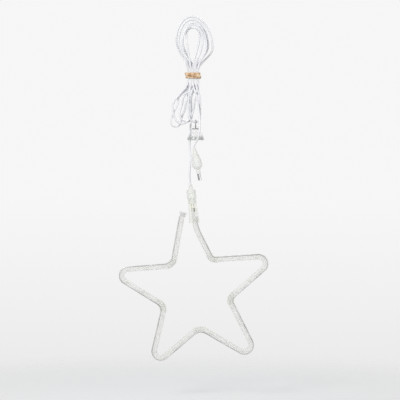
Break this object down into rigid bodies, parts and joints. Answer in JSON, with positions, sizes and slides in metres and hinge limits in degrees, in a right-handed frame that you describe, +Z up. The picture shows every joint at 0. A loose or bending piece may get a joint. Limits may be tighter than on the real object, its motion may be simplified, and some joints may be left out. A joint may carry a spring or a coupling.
{
  "type": "led tube star light",
  "caption": "Hanging star light: clear LED tube bent on a steel wire, its white cord folded into a tied hank with a barrel plug and a suction cup on a wire hook.",
  "frame": {"origin": "underside of the hank's innermost top arc, where the support holds the part up", "axes": "+Z up along the hanging line, the star in the XZ plane, its front facing -Y"},
  "size_m": [0.2389, 0.042, 0.5528],
  "materials": {
    "clear_pvc": "clear, faintly yellow, glossy",
    "milky_pvc": "milky translucent, satin",
    "cord_pvc": "white, satin",
    "galvanised_wire": "zinc-coated wire, pale grey, satin",
    "steel_wire": "dark drawn steel",
    "tinned_copper": "drawn copper",
    "brass": "plain brass",
    "nickel": "dark nickel plate",
    "lamp_lens": "clear to pale yellow",
    "black_shrink": "black, matt",
    "black_plastic": "black, satin",
    "amber_rubber": "amber, slightly glossy"
  },
  "bodies": {
    "star_and_cord": {"star_tube": "clear_pvc", "shaping_wire": "galvanised_wire", "conductor_1": "tinned_copper", "conductor_2": "tinned_copper", "lamp_01": "lamp_lens", "lamp_02": "lamp_lens", "lamp_03": "lamp_lens", "lamp_04": "lamp_lens", "lamp_05": "lamp_lens", "lamp_06": "lamp_lens", "lamp_07": "lamp_lens", "lamp_08": "lamp_lens", "lamp_09": "lamp_lens", "lamp_10": "lamp_lens", "lamp_11": "lamp_lens", "lamp_12": "lamp_lens", "lamp_13": "lamp_lens", "lamp_14": "lamp_lens", "lamp_15": "lamp_lens", "lamp_16": "lamp_lens", "lamp_17": "lamp_lens", "lamp_18": "lamp_lens", "lamp_19": "lamp_lens", "lamp_20": "lamp_lens", "lamp_21": "lamp_lens", "lamp_22": "lamp_lens", "lamp_23": "lamp_lens", "lamp_24": "lamp_lens", "lamp_25": "lamp_lens", "lamp_26": "lamp_lens", "lamp_27": "lamp_lens", "lamp_28": "lamp_lens", "lamp_29": "lamp_lens", "lamp_30": "lamp_lens", "corner_sleeve_1": "clear_pvc", "corner_sleeve_2": "clear_pvc", "corner_sleeve_3": "clear_pvc", "corner_sleeve_4": "clear_pvc", "corner_sleeve_5": "clear_pvc", "tube_end_cap": "clear_pvc", "clear_sleeve": "clear_pvc", "connector_body": "milky_pvc", "connector_strain_relief": "milky_pvc", "contact_pin_1": "brass", "contact_pin_2": "brass", "lead_seal_1": "milky_pvc", "lead_seal_2": "black_shrink", "cord_to_star": "cord_pvc", "cord_hank": "cord_pvc", "rubber_band": "amber_rubber", "cord_to_plug": "cord_pvc", "plug_strain_relief": "milky_pvc", "plug_body": "milky_pvc", "plug_barrel": "nickel", "plug_insulator": "black_plastic", "plug_centre_contact": "brass"},
    "cup_hook": {"suction_cup_hook": "steel_wire"},
    "cup": {"suction_cup": "clear_pvc"}
  },
  "joints": [
    {"name": "cup_swing", "type": "hinge", "parent": "star_and_cord", "child": "cup_hook", "pos_m": [0.00427, -0.007, -0.14697], "axis": [0, 1, 0], "range_deg": [-30, 30]},
    {"name": "cup_spin", "type": "hinge", "parent": "cup_hook", "child": "cup", "pos_m": [0.00427, -0.007, -0.15998], "axis": [0, 0, 1], "continuous": true}
  ]
}
